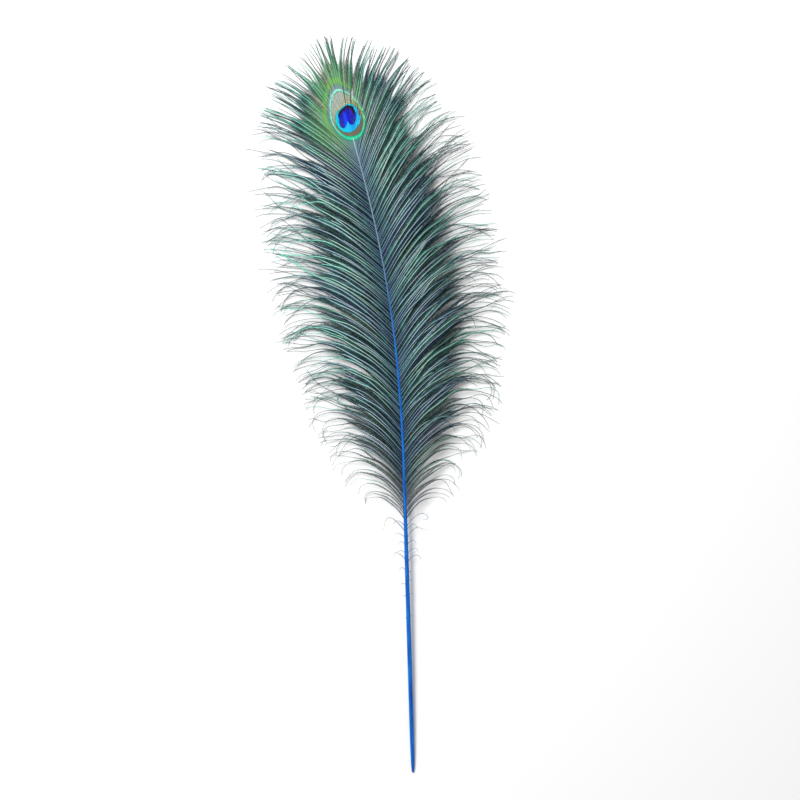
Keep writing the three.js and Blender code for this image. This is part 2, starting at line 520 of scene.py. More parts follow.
def new_material(name: str, gloss: dict) -> tuple[bpy.types.Material, bpy.types.Node]:
    """Starts a material with one shader as its surface.

    Args:
        name: The material's name.
        gloss: Values of the shader's sockets that are the same all over.

    Returns:
        The material and its shader.
    """
    material = bpy.data.materials.new(name)
    material.use_nodes = True
    tree = material.node_tree
    tree.nodes.clear()
    shader = add_node(tree, "ShaderNodeBsdfPrincipled", inputs=gloss)
    add_node(tree, "ShaderNodeOutputMaterial", inputs={"Surface": shader.outputs["BSDF"]})
    return material, shader


@dataclass(frozen=True)
class Band:
    """A stretch of values over which a colour comes in or fades out.

    The values are a field of the mesh, by its name, or what a node gives.
    """

    values: str | bpy.types.NodeSocket
    start: float
    end: float
    before: float = 0.0
    after: float = 1.0


@dataclass(frozen=True)
class Layer:
    """A colour that lies over others, as strongly as its bands say together."""

    colour: str | bpy.types.NodeSocket
    bands: tuple[Band, ...]


def paint(
    tree: bpy.types.NodeTree, base: str | bpy.types.NodeSocket, layers: list[Layer]
) -> bpy.types.NodeSocket:
    """Lays colours over each other.

    Args:
        tree: The node tree.
        base: The lowest colour.
        layers: The colours over it, the lowest first.

    Returns:
        The colour that shows.
    """
    for layer in layers:
        share = 1.0
        for band in layer.bands:
            values = band.values
            if isinstance(values, str):
                values = add_node(tree, "ShaderNodeAttribute", {"attribute_name": values}).outputs["Fac"]
            span = {"From Min": band.start, "From Max": band.end, "To Min": band.before, "To Max": band.after}
            step = add_node(
                tree, "ShaderNodeMapRange", {"interpolation_type": "SMOOTHSTEP"}, {"Value": values} | span
            )
            product = add_node(
                tree, "ShaderNodeMath", {"operation": "MULTIPLY"}, {0: share, 1: step.outputs["Result"]}
            )
            share = product.outputs["Value"]
        below, over = (linear(one) if isinstance(one, str) else one for one in (base, layer.colour))
        colours = {"Factor": share, "A": below, "B": over}
        base = add_node(tree, "ShaderNodeMix", {"data_type": "RGBA"}, colours).outputs["Result"]
    return base


@dataclass(frozen=True)
class BarbKeratin:
    """What the barbs' two finishes share: keratin whose gloss changes with one of the mesh's fields."""

    name: str
    metallic: float
    specular: float
    roughness: tuple[float, float]
    gloss_field: str
    gloss_span: tuple[float, float] = (0.0, 1.0)

    def build(self) -> bpy.types.Material:
        """Makes the material.

        Returns:
            The material.
        """
        gloss = {"Metallic": self.metallic, "Specular IOR Level": self.specular, "IOR": KERATIN_IOR}
        material, shader = new_material(self.name, gloss)
        tree = material.node_tree
        place = add_node(tree, "ShaderNodeAttribute", {"attribute_name": self.gloss_field})
        span = {"From Min": self.gloss_span[0], "From Max": self.gloss_span[1]}
        limits = {"To Min": self.roughness[0], "To Max": self.roughness[1]}
        rough = add_node(tree, "ShaderNodeMapRange", inputs={"Value": place.outputs["Fac"]} | span | limits)
        tree.links.new(rough.outputs["Result"], shader.inputs["Roughness"])
        tree.links.new(self.colour(tree), shader.inputs["Base Color"])
        return material

    def colour(self, tree: bpy.types.NodeTree) -> bpy.types.NodeSocket:
        """Builds the colour, which each finish has of its own."""
        raise NotImplementedError


@dataclass(frozen=True)
class LooseBarbKeratin(BarbKeratin):
    """Grown keratin, dark with pigment under thin clear layers.

    The layers give silky barbs their teal and green over a nearly black ground. Each rib shows as a pale
    lilac or sage thread, partly its own paler tone and partly a painted highlight, strongest on the barbs
    painted as lit, and the barbules on it stay dark between the threads.
    """

    name: str = "loose_barb_keratin"
    ground: str = "#060F13"
    deep_teal: str = "#10302E"
    teal: str = "#265A54"
    sea_green: str = "#3C8274"
    navy: str = "#12283C"
    # Colours of the ribs' pale threads: partly their own tone, partly a painted highlight
    lilac_thread: str = "#A2AEC4"
    sage_thread: str = "#A6C2B6"
    tip_thread: str = "#48BCA6"
    dark_tip: str = "#143440"
    blue_at_shaft: str = "#4C6C9C"
    green_halo: str = "#54965A"
    tan_halo: str = "#8A9470"
    patch_length: float = 11.0  # millimetres of barb in one patch of hue
    usual_barb: float = 150.0  # millimetres, a barb in the middle of the vane
    patch_contrast: float = 1.3
    metallic: float = 0.35
    specular: float = 0.12
    roughness: tuple[float, float] = (0.42, 0.56)  # of a smooth rib, and of the barbules beside it
    gloss_field: str = "across"

    def colour(self, tree: bpy.types.NodeTree) -> bpy.types.NodeSocket:
        """Builds the barbs' colour: pale ribs over dark barbules, and the halo round the eye over both.

        The ribs are dyed by the shaft at their root, lilac or sage grey, and turquoise or dark at their tips.
        Their pale thread is partly their own tone and partly a painted highlight, strongest on the barbs
        painted as lit, and the halo is fuller on those barbs too.

        Args:
            tree: The node tree.

        Returns:
            The colour.
        """
        greys = [
            Layer(self.lilac_thread, (Band("hue", 0.25, 0.75),)),
            Layer(self.blue_at_shaft, (Band("along", 0.02, 0.3, 0.7, 0.0),)),
        ]
        tips = paint(tree, self.tip_thread, [Layer(self.dark_tip, (Band("hue", 0.4, 0.62),))])
        ribs = paint(tree, self.sage_thread, [*greys, Layer(tips, (Band("along", 0.4, 0.85, 0.0, 0.88),))])
        halo = paint(tree, self.green_halo, [Layer(self.tan_halo, (Band("hue", 0.45, 0.75),))])
        layers = [
            Layer(self.navy, (Band("hue", 0.7, 0.9, 0.0, 0.5),)),
            # Painted highlight: the pale thread along each rib, strongest on the barbs painted as lit
            Layer(ribs, (Band("across", 0.04, 0.29, 1.0, 0.0), Band("painted_light", 0.1, 0.75, 0.07, 1.0))),
            # The halo round the eye, fuller on the barbs painted as lit
            Layer(
                halo,
                (
                    Band("ring", 1.2, 3.4, 0.78, 0.0),
                    Band("eye_v", -1.0, -0.2, 0.35, 1.0),
                    Band("painted_light", 0.0, 0.8, 0.3, 1.0),
                    Band("leftward", -0.7, 0.35, 0.25, 1.0),
                ),
            ),
        ]
        return paint(tree, self._barbules(tree), layers)

    def _barbules(self, tree: bpy.types.NodeTree) -> bpy.types.NodeSocket:
        """The dark barbules, in patches of teal and green about a centimetre long, lighter on the barbs
        painted as lit and towards their tips.

        Args:
            tree: The node tree.

        Returns:
            The colour.
        """
        hue, along, light = (
            add_node(tree, "ShaderNodeAttribute", {"attribute_name": name}).outputs["Fac"]
            for name in ("hue", "along", "light")
        )
        spot = add_node(tree, "ShaderNodeCombineXYZ", inputs={"X": hue, "Y": along})
        scale = self.usual_barb / self.patch_length
        pattern = {"Vector": spot.outputs["Vector"], "Scale": scale, "Detail": 3.0}
        patches = add_node(tree, "ShaderNodeTexNoise", inputs=pattern)
        sums = {0: patches.outputs["Fac"], 1: self.patch_contrast, 2: light}
        lit = add_node(tree, "ShaderNodeMath", {"operation": "MULTIPLY_ADD"}, sums)
        stops = [(0.0, self.ground), (0.35, self.deep_teal), (0.62, self.teal), (0.95, self.sea_green)]
        return add_node(
            tree, "ShaderNodeValToRGB", inputs={"Fac": lit.outputs["Value"]}, stops=stops
        ).outputs["Color"]


@dataclass(frozen=True)
class EyeKeratin(BarbKeratin):
    """Grown keratin of the eye's packed barbules.

    Finer layers of another thickness in each zone give it clear bands of colour that gleam like foil.
    """

    name: str = "eye_keratin"
    heart: str = "#020498"
    heart_top: str = "#020214"
    heart_shoulder: str = "#280668"
    heart_lobe: str = "#20227E"
    heart_streak: str = "#0636D4"
    disc: str = "#00A8CE"
    disc_right: str = "#088CCC"
    disc_rim: str = "#02B6C2"
    disc_line: str = "#064450"
    bronze: str = "#66594A"
    olive: str = "#777448"
    beige: str = "#90967A"
    upper_grey: str = "#939B93"
    inner_line: str = "#1C8068"
    mint_above: str = "#86CCB6"
    mint_below: str = "#20BA8C"
    mint_right: str = "#6EBC7A"
    outer_teal: str = "#2A7A68"
    outer_lilac: str = "#788894"
    outer_green: str = "#66A04E"
    # Painted shade along the partings between the eye's barbs
    split_shade: str = "#10201C"
    metallic: float = 0.4
    specular: float = 0.15
    roughness: tuple[float, float] = (0.36, 0.5)  # of the disc, and of the duller barbs round it
    gloss_field: str = "disc"
    gloss_span: tuple[float, float] = (0.9, 1.3)

    def colour(self, tree: bpy.types.NodeTree) -> bpy.types.NodeSocket:
        """Builds the eye's colour: its zones from the outside in, over that of the loose barbs.

        Args:
            tree: The node tree.

        Returns:
            The colour.
        """
        zones = (self._outside, self._ring, self._ground, self._disc, self._heart, self._barb_lines)
        layers = [layer for zone in zones for layer in zone()]
        return paint(tree, LooseBarbKeratin().colour(tree), layers)

    def _outside(self) -> list[Layer]:
        """Outside the mint ring: a thin teal and grey band, then a yellow-green arc at the upper left.

        Returns:
            The layers, the lowest first.
        """
        near = Band("ring", 1.03, 1.19, 0.9, 0.0)
        arc = (Band("ring", 1.17, 1.27), Band("ring", 1.32, 1.48, 1.0, 0.0))
        upper_left = (Band("leftward", -0.3, 0.4, 0.06, 0.85), Band("eye_v", -0.45, 0.15, 0.25, 1.0))
        return [
            Layer(self.outer_teal, (near,)),
            Layer(self.outer_lilac, (near, Band("eye_v", -0.2, 0.45))),
            Layer(self.outer_green, (*arc, *upper_left)),
        ]

    def _ring(self) -> list[Layer]:
        """The mint ring, pale above, greener below and yellower at the right, and a darker line inside it.

        Returns:
            The layers, the lowest first.
        """
        inside = Band("ring", 0.985, 1.02, 1.0, 0.0)
        return [
            Layer(self.mint_above, (inside,)),
            Layer(self.mint_right, (inside, Band("eye_u", 0.05, 0.3))),
            Layer(self.mint_below, (inside, Band("eye_v", -0.52, -0.1, 1.0, 0.0))),
            Layer(self.inner_line, (Band("rim", -0.15, 0.15, 1.0, 0.0),)),
        ]

    def _ground(self) -> list[Layer]:
        """Inside the ring: bronze under the disc, olive at its sides, beige and lilac-grey above it.

        Returns:
            The layers, the lowest first.
        """
        inside = Band("rim", -0.5, -0.2, 1.0, 0.0)
        return [
            Layer(self.bronze, (inside,)),
            Layer(self.olive, (inside, Band("slanted", -0.32, -0.05))),
            Layer(self.beige, (inside, Band("slanted", -0.02, 0.25))),
            Layer(self.upper_grey, (inside, Band("slanted", 0.22, 0.6))),
        ]

    def _disc(self) -> list[Layer]:
        """The cyan disc, bluer at its right and greener towards its edge, with a dark line round it.

        Returns:
            The layers, the lowest first.
        """
        right = Band("leftward", -0.2, 0.05, 0.9, 0.0)
        return [
            Layer(self.disc_line, (Band("disc", 0.99, 1.06, 1.0, 0.0),)),
            Layer(self.disc_rim, (Band("disc", 0.95, 1.02, 1.0, 0.0),)),
            Layer(self.disc, (Band("disc", 0.72, 0.97, 1.0, 0.0),)),
            Layer(self.disc_right, (Band("disc", 0.9, 1.0, 1.0, 0.0), right)),
        ]

    def _heart(self) -> list[Layer]:
        """The heart, nearly black along its top, with a bright streak that rises from the notch.

        Returns:
            The layers, the lowest first.
        """
        inside = Band("heart", 0.95, 1.06, 1.0, 0.0)
        low = Band("heart_v", -0.16, 0.06, 1.0, 0.0)
        high = Band("heart_v", -0.02, 0.1)
        streak = (Band("beside", 0.015, 0.075, 0.9, 0.0), Band("heart_v", 0.0, 0.18, 1.0, 0.0))
        return [
            Layer(self.heart, (inside,)),
            Layer(self.heart_lobe, (inside, low, Band("aside", 0.06, 0.14))),
            Layer(self.heart_shoulder, (inside, high, Band("dome", 0.5, 0.72))),
            Layer(self.heart_top, (inside, high, Band("dome", 0.66, 0.84))),
            Layer(self.heart_streak, (inside, *streak)),
        ]

    def _barb_lines(self) -> list[Layer]:
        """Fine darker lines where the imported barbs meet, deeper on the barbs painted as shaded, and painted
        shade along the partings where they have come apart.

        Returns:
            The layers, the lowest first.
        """
        # The lines between barbs are deeper on the barbs painted as shaded
        uneven = (Band("across", 0.55, 1.0, 0.0, 0.34), Band("painted_light", 0.1, 0.7, 1.0, 0.2))
        above = (Band("disc", 1.0, 1.12), Band("ring", 0.97, 1.2, 1.0, 0.25))
        return [
            Layer(self.disc_line, uneven),
            # Painted shade along the partings
            Layer(self.split_shade, (Band("parted", 0.25, 0.75, 0.0, 0.84), *above)),
        ]


@dataclass(frozen=True)
class DyedShaftKeratin:
    """Keratin of the shaft, dyed bright blue and left glossy.

    The dye took unevenly, in lengthwise streaks that follow the grain of the horn, and it thins out up the
    vane, where the shaft's own grey horn shows. At its end, under the eye, the shaft is painted pale as a
    highlight.
    """

    name: str = "dyed_shaft_keratin"
    shadow_blue: str = "#03409C"
    blue: str = "#055EB6"
    bright_blue: str = "#0A78D2"
    thin_dye: str = "#3A6A98"
    grey_horn: str = "#7C93A0"
    pale_horn_highlight: str = "#A8D0C0"
    streak_width: float = 2.9  # millimetres of the broadest streaks, which have finer ones in them
    streak_length: float = 24.0  # millimetres
    grain_depth: float = 0.06  # millimetres
    roughness: float = 0.34
    specular: float = 0.14
    coat: float = 0.05

    def build(self, length: float, girth: float) -> bpy.types.Material:
        """Makes the material.

        Args:
            length: The feather's length in millimetres.
            girth: The quill's circumference in millimetres.

        Returns:
            The material.
        """
        gloss = {
            "Roughness": self.roughness,
            "Coat Weight": self.coat,
            "Specular IOR Level": self.specular,
            "IOR": KERATIN_IOR,
        }
        material, shader = new_material(self.name, gloss)
        tree = material.node_tree
        across, along = (
            add_node(tree, "ShaderNodeAttribute", {"attribute_name": name}).outputs["Fac"]
            for name in ("across", "along")
        )
        spot = add_node(tree, "ShaderNodeCombineXYZ", inputs={"X": across, "Y": along})
        scale = (girth / self.streak_width, length / self.streak_length, 1.0)
        stretched = add_node(
            tree, "ShaderNodeVectorMath", {"operation": "MULTIPLY"}, {0: spot.outputs["Vector"], 1: scale}
        )
        pattern = {"Vector": stretched.outputs["Vector"], "Scale": 1.0, "Detail": 4.0}
        streaks = add_node(tree, "ShaderNodeTexNoise", inputs=pattern).outputs["Fac"]
        dye = [(0.3, self.shadow_blue), (0.5, self.blue), (0.7, self.bright_blue)]
        dyed = add_node(tree, "ShaderNodeValToRGB", inputs={"Fac": streaks}, stops=dye)
        # Thinning dye, then grey horn, then a painted highlight, pale, at the shaft's end under the eye
        horn = [(0.64, self.thin_dye), (0.76, self.grey_horn), (0.82, self.grey_horn), (0.86, self.pale_horn_highlight)]
        bare = add_node(tree, "ShaderNodeValToRGB", inputs={"Fac": along}, stops=horn)
        fading = Layer(bare.outputs["Color"], (Band("along", 0.54, 0.68),))
        tree.links.new(paint(tree, dyed.outputs["Color"], [fading]), shader.inputs["Base Color"])
        relief = {"Height": streaks, "Distance": self.grain_depth * MM}
        grain = add_node(tree, "ShaderNodeBump", inputs=relief)
        tree.links.new(grain.outputs["Normal"], shader.inputs["Normal"])
        return material


@dataclass
class Shaft:
    """The feather's shaft: a round hollow quill that runs on as a grooved, tapering shaft."""

    growth: Growth
    rings: int = 220
    sides: int = 20
    crowding: float = 1.15  # above 1, the rings stand closer together at the quill
    groove_depth: float = 0.35  # share of the radius, along the underside of the vane's stretch
    groove_width: float = 0.35  # radians
    groove_onset: tuple[float, float] = (-40.0, 60.0)  # from here to here, measured from the first barb
    flattening: float = 0.92
    quill_hole: float = 0.62  # share of the quill tip's radius
    quill_hole_depth: float = 2.0
    quill_hole_floor: float = 0.5  # share of the hole's radius
    margin: tuple[float, float] = (0.01, 0.02)  # left free at the ends and sides of the bake layout

    def build(self, origin: np.ndarray) -> bpy.types.Object:
        """Builds the shaft.

        Args:
            origin: Where the quill's tip lies, in millimetres.

        Returns:
            The shaft, without a material.
        """
        growth = self.growth
        station = growth.shaft_tip * np.linspace(0, 1, self.rings) ** self.crowding
        radius = growth.shaft_radius.at(station)
        hole = radius[0] * self.quill_hole
        station = np.concatenate([[self.quill_hole_depth, 0.0], station])
        radius = np.concatenate([[hole * self.quill_hole_floor, hole], radius])
        centre = growth.middle_line(station)
        turn = growth.heading(station)
        across = np.stack([np.cos(turn), -np.sin(turn), np.zeros_like(turn)], axis=-1)
        angle = np.linspace(-0.5 * np.pi, 1.5 * np.pi, self.sides + 1)
        onset = (growth.first_barb + place for place in self.groove_onset)
        groove = self.groove_depth * ease(station, *onset)
        from_underside = np.minimum(angle - angle[0], angle[-1] - angle)
        dent = 1 - groove[:, None] * np.exp(-((from_underside / self.groove_width) ** 2))[None, :]
        ring = radius[:, None] * dent
        points = (
            centre[:, None, :]
            + across[:, None, :] * (ring * np.cos(angle))[..., None]
            + UP * (ring * np.sin(angle) * self.flattening)[..., None]
        )
        return self._skin(points, station, angle).finish(origin, smooth=True)

    def dress(self, piece: bpy.types.Object) -> None:
        """Gives the shaft its dyed finish, with streaks that suit its length and girth.

        Args:
            piece: The shaft as built.
        """
        girth = 2 * math.pi * max(radius for _, radius in self.growth.shaft_radius.points)
        tie(piece, DyedShaftKeratin().build(self.growth.length, girth))

    def _skin(self, points: np.ndarray, station: np.ndarray, angle: np.ndarray) -> PieceMesh:
        """Joins the rings into one skin, with its seam along the underside and a cap on each end.

        Args:
            points: Points in an array of rings by sides + 1 by 3.
            station: The rings' stations.
            angle: The sides' angles.

        Returns:
            The mesh under construction.
        """
        rings, columns = points.shape[:2]
        along = np.repeat(station / self.growth.length, columns)
        turn = (angle - angle[0]) / (2 * np.pi)
        ends, sides = self.margin
        layout = np.stack(
            [blend(ends, 1 - ends, along), np.tile(blend(sides, 1 - sides, turn), rings)], axis=-1
        )
        fields = {"along": along, "across": np.tile(turn, rings)}
        mesh = PieceMesh("shaft")
        mesh.add(points.reshape(-1, 3), tube_faces(rings, columns), layout, fields)
        cap = np.arange(1, columns)
        mesh.faces.append(np.array([cap[::-1], cap + (rings - 1) * columns]))
        return mesh


@dataclass
class Barbs:
    """Some barbs: their middle lines as they lie and as they grew, and their own fields, one value for each.

    The eye's pattern belongs to the barbs as they grew, so a barb that has shifted carries its colours along.
    """

    lines: np.ndarray
    grown: np.ndarray
    own: dict[str, np.ndarray]


@dataclass(frozen=True)
class Disorder:
    """How barbs stray from even growth, in their spacing, lengths and bends and in how they lie together.

    Angles are in degrees and heights in millimetres. A pair of values is the least and the most, unless its
    comment says otherwise, and a reach is the stretch of a barb, in shares of its length, where that sets in.
    """

    amount: float = 1.0  # how much of the bends and of the uneven heights a row has
    uneven_spacing: float = 0.12  # share of the spacing
    uneven_length: float = 0.065  # share of the usual length
    broken: float = 0.07  # share of the barbs that have broken off
    broken_off: tuple[float, float] = (0.15, 0.45)  # share of a broken barb that is missing
    wisp_length: tuple[float, float] = (0.15, 0.45)  # share of a vane barb's length
    wisp_growth: tuple[float, float] = (0.6, 2.0)  # times that, low on the stem and just below the vane
    hue_spread: float = 0.08  # within a strand
    strand: tuple[int, int] = (2, 3)  # barbs that lie together
    strand_pull: tuple[float, float] = (0.1, 0.6)
    strand_reach: tuple[float, float] = (0.1, 0.95)
    tuft: tuple[float, float] = (9.0, 30.0)  # millimetres of shaft whose barbs lean together at their tips
    tuft_pull: tuple[float, float] = (0.0, 0.5)
    tuft_reach: tuple[float, float] = (0.5, 1.08)
    outer_from: float = 0.55  # where a barb's outer stretch begins, which droops, strays and hooks
    droop: float = 8.0
    droop_spread: float = 17.0
    low_droop: float = 22.0  # added at the vane's lower end
    droop_curve: float = 1.5
    strays: float = 0.3  # share of the barbs that stray
    stray_bend: tuple[float, float] = (8.0, 46.0)  # mean and spread
    stray_limits: tuple[float, float] = (-60.0, 75.0)
    sway: float = 4.8  # by a barb's tip
    waves: tuple[tuple[float, float], ...] = ((0.8, 9.0), (1.7, 13.0), (3.1, 12.0))  # turns and size
    low_waves: float = 0.8  # how much larger they are at the vane's lower end
    lean: float = 1.0  # of a whole barb
    short_below: float = 0.84  # a barb shorter than this share of its usual length lies on top
    short_lift: float = 2.2
    short_reach: tuple[float, float] = (0.1, 0.6)
    hook: tuple[float, float] = (10.0, 80.0)  # at a short barb's tip
    float_up: tuple[float, float] = (1.5, 1.1)  # shape and scale of the heights that tips float up to
    tip_settling: float = 0.6  # share of that height that the very tip comes down again
    layering: float = 1.5  # from the lowest barb of a strand to the one on top
    layering_onset: float = 6.0  # how soon the layers part: at 6, within a sixth of a barb's length
    level_shade: float = 0.3  # a barb painted lighter lies above its usual height, and one painted darker below it


@dataclass(frozen=True)
class Barbules:
    """The barbules on both hands of a barb. Lengths are in millimetres and angles in degrees."""

    spacing: float  # along the barb
    length: Profile = Profile(((0, 1.4), (0.08, 1.8), (0.5, 1.5), (0.72, 0.85), (0.9, 0.55), (1, 0.3)))
    length_spread: float = 0.1  # share of the length
    wisp_length: float = 0.4  # share of the length, on the stem's wisps
    sparse_length: float = 0.5  # share of the length, at the vane's lower end
    slant: float = 38.0  # forward from square to the barb
    slant_spread: float = 5.0
    lift: float = -13.0  # up from level
    lift_spread: float = 7.0
    closed_until: tuple[float, float] = (0.45, 0.75)  # share of a barb up to which the vane is closed
    sparse_closed: float = 0.2  # how closed it is at its lower end
    overlap: float = 1.3  # times the gap to the next barb, where the vane is closed
    closing_length: tuple[float, float] = (1.2, 2.8)
    eye_overlap: float = 1.2
    eye_closing_length: tuple[float, float] = (0.8, 1.8)
    tip_width: tuple[float, float] = (0.1, 0.85)  # shares of the base, where the vane is open and closed
    lowest: float = 0.1  # above the surface


@dataclass(frozen=True)
class Ribs:
    """The barbs' thin three-sided ribs, in millimetres and degrees."""

    radius: tuple[float, float] = (0.30, 0.15)  # at the shaft and at the tip
    taper: float = 0.7  # below 1, a rib thins out sooner
    radius_by_shade: tuple[float, float] = (0.75, 1.2)  # times that, for a barb painted dark and for one painted lit
    every: int = 5  # barbule steps for each step of a rib
    corners: tuple[float, ...] = (-90.0, 30.0, 150.0, 270.0)  # from level, with the seam on the underside
    sideways: tuple[float, ...] = (0.1, 0.035, -0.035, -0.1)  # the corners' places in a barb's bake strip
    lowest: float = 0.08  # above the surface


@dataclass
class BarbRow:
    """The barbs of one stretch on one side: each a thin rib with a row of barbules on both hands.

    Real barbs stand closer than a millimetre, with dozens of barbules to the millimetre. Both are too fine
    to show, so they are drawn fewer and broader, with the same look from a reading distance.
    """

    growth: Growth
    eye: EyePlan
    side: Side
    stretch: Stretch
    seed: int
    spacing: float  # between barbs, along the shaft
    barbules: Barbules
    disorder: Disorder = Disorder()
    ribs: Ribs = Ribs()
    crowding: float = 1.0  # below 1, the barbs stand closer together further up
    end_barbs: int = 3  # that leave the very end of the shaft
    end_gap: float = 0.2  # from there to the shaft's end
    splits: tuple[float, ...] = ()  # stations where the eye's barbs have come apart
    split_width: float = 1.9  # degrees
    split_fading: float = 7.0  # along the shaft, over which the barbs below a split lie close again
    split_onset: tuple[float, float] = (0.12, 0.4)  # shares of a barb between which the split opens
    parting_width: float = 0.95  # along the shaft, of the painted shade beside a split
    # The barbs' painted light: of those under the top of a strand, of the one on top, and of a short one on
    # top
    low_shade: tuple[float, float] = (0.0, 0.35)
    top_shade: tuple[float, float] = (0.5, 1.0)
    short_shade: float = 0.9
    sparse_shade: float = 0.55  # share of a barb's painted light, at the vane's lower end
    # What sets the barbules' light: the barb's painted light, and the lighter tone towards its tip
    light_by_shade: float = 0.48
    light_by_tip: float = 0.24
    tip_light: tuple[float, float] = (0.3, 0.9)  # shares of a barb between which its tip gets lighter
    darkness: float = 0.56  # taken off the light of every barb
    lowest: float = 0.3  # above the surface
    strip_half: float = 0.44  # share of a barb's bake strip that one hand takes up
    strip_margin: float = 0.005  # left free at each end of a strip
    beside_rib: float = 0.14  # share of a hand's part of the strip, where its barbules begin
    rng: np.random.Generator = field(init=False)

    def __post_init__(self) -> None:
        """Starts the row's own random numbers, the same on each run."""
        self.rng = np.random.default_rng(self.seed)

    @property
    def name(self) -> str:
        """The piece's name."""
        return f"{self.stretch.value}_barbs_{self.side.name.lower()}"

    def build(self, origin: np.ndarray) -> bpy.types.Object:
        """Builds the row.

        Args:
            origin: Where the quill's tip lies, in millimetres.

        Returns:
            The row of barbs, without a material.
        """
        station = self._stations()
        painted_light, strand = self._strands(len(station))
        length = self._lengths(station)
        short = (length < self.disorder.short_below) & (self.stretch is not Stretch.EYE)
        # A short barb lies on top and is painted lit, and the painted light is less towards the vane's sparse
        # lower end
        painted_light = np.where(short, self.short_shade, painted_light)
        painted_light = painted_light * blend(self.sparse_shade, 1.0, self.growth.fullness(station))
        lines, grown = self._lines(station, strand, painted_light, length, short[:, None])
        own = {"painted_light": painted_light, "hue": self._hues(len(station), strand), "parted": self._parted(station)}
        barbs = Barbs(lines, grown, own)
        mesh = PieceMesh(self.name)
        self._add_barbules(mesh, barbs, station)
        self._add_ribs(mesh, barbs)
        return mesh.finish(origin, smooth=False)

    def dress(self, piece: bpy.types.Object, loose: bpy.types.Material, packed: bpy.types.Material) -> None:
        """Gives the row its finish: that of the eye's packed barbs, or else that of loose ones."""
        tie(piece, packed if self.stretch is Stretch.EYE else loose)

    def _stations(self) -> np.ndarray:
        """Spreads the barbs along the shaft, a little unevenly.

        Returns:
            Where the barbs leave the shaft.
        """
        growth = self.growth
        low, high = {
            Stretch.STEM: (growth.first_wisp, growth.first_barb),
            Stretch.LOWER: (growth.first_barb, growth.upper_vane_from),
            Stretch.UPPER: (growth.upper_vane_from, growth.eye_barbs_from),
            Stretch.EYE: (growth.eye_barbs_from, growth.shaft_tip),
        }[self.stretch]
        count = round((high - low) / self.spacing)
        even = blend(low, high, ((np.arange(count) + 0.5) / count) ** self.crowding)
        station = even + self.rng.normal(0, self.disorder.uneven_spacing, count) * self.spacing
        if self.stretch is Stretch.EYE:
            station = np.concatenate([station, np.full(self.end_barbs, high - self.end_gap)])
        return station

    def _strands(self, count: int) -> tuple[np.ndarray, np.ndarray]:
        """Groups the barbs in strands, one barb of which lies on top and is painted as lit.

        Args:
            count: The number of barbs.

        Returns:
            How much painted light each barb gets, from 0 to 1, and the number of its strand.
        """
        painted_light = self.rng.uniform(*self.low_shade, count)
        fewest, most = self.disorder.strand
        top = np.cumsum(self.rng.integers(fewest, most + 1, count)) - 1
        top = top[top < count]
        painted_light[top] = self.rng.uniform(*self.top_shade, len(top))
        return painted_light, np.searchsorted(top, np.arange(count))

    def _hues(self, count: int, strand: np.ndarray) -> np.ndarray:
        """Each barb's own hue from 0 to 1, alike within a strand."""
        shared = self.rng.random(count)[strand]
        return np.clip(shared + self.rng.normal(0, self.disorder.hue_spread, count), 0, 1)

    def _parted(self, station: np.ndarray) -> np.ndarray:
        """How close each barb is to a place where they have come apart: 1 beside it, 0 away from it."""
        away = [np.abs(station - split) for split in self.splits]
        return np.exp(-np.square(np.min([np.full(len(station), np.inf), *away], axis=0) / self.parting_width))

    def _lines(
        self,
        station: np.ndarray,
        strand: np.ndarray,
        painted_light: np.ndarray,
        length: np.ndarray,
        short: np.ndarray,
    ) -> tuple[np.ndarray, np.ndarray]:
        """The barbs' middle lines, gathered into strands and tufts, each with a sway of its own.

        Args:
            station: Where the barbs leave the shaft.
            strand: The number of each barb's strand.
            painted_light: How light each barb is.
            length: How much longer or shorter than usual each barb is.
            short: Whether each barb is a short one that lies on top, in rows of one.

        Returns:
            The lines as they lie and as they grew, in millimetres, in arrays of barbs by steps + 1 by 3.
        """
        growth, disorder, count = self.growth, self.disorder, len(station)
        longest = float((growth.barb_length.at(station) * length).max())
        steps = self.ribs.every * math.ceil(longest / self.barbules.spacing / self.ribs.every)
        grown = growth.barbs(station, self.side, steps, length, np.zeros((count, 1)))
        lines = growth.barbs(station, self.side, steps, length, self._bends(station, steps, short))
        reach = np.linspace(0, 1, steps + 1)
        if self.stretch is Stretch.STEM:
            lines[:, :, 2] = lines[:, :1, 2]
            return lines, grown
        lines = self._gathered(lines, strand, disorder.strand_pull, ease(reach, *disorder.strand_reach))
        tufts = self._tufts(station)
        lines = self._gathered(lines, tufts, disorder.tuft_pull, ease(reach, *disorder.tuft_reach))
        floating = reach**2 * (1 - disorder.tip_settling * reach**4)
        float_up = self.rng.gamma(*disorder.float_up, count)[:, None] * floating
        layered = disorder.layering * np.clip(reach * disorder.layering_onset, 0, 1)
        layer = (painted_light - disorder.level_shade)[:, None] * layered
        on_top = disorder.short_lift * short * ease(reach, *disorder.short_reach)
        height = lines[:, :, 2] + (float_up + layer + on_top) * disorder.amount
        lines[:, :, 2] = np.maximum(height, self.lowest)
        return lines, grown

    def _lengths(self, station: np.ndarray) -> np.ndarray:
        """Makes the barbs uneven, and now and then breaks one off.

        Args:
            station: Where the barbs leave the shaft.

        Returns:
            How much longer or shorter than usual each barb is.
        """
        rng, disorder, count = self.rng, self.disorder, len(station)
        if self.stretch is Stretch.STEM:
            growing = ease(station, self.growth.wisps_longer_from, self.growth.first_barb)
            return rng.uniform(*disorder.wisp_length, count) * blend(*disorder.wisp_growth, growing)
        broken = rng.random(count) < disorder.broken
        uneven = rng.normal(0, disorder.uneven_length, count)
        return 1 + uneven - broken * rng.uniform(*disorder.broken_off, count)

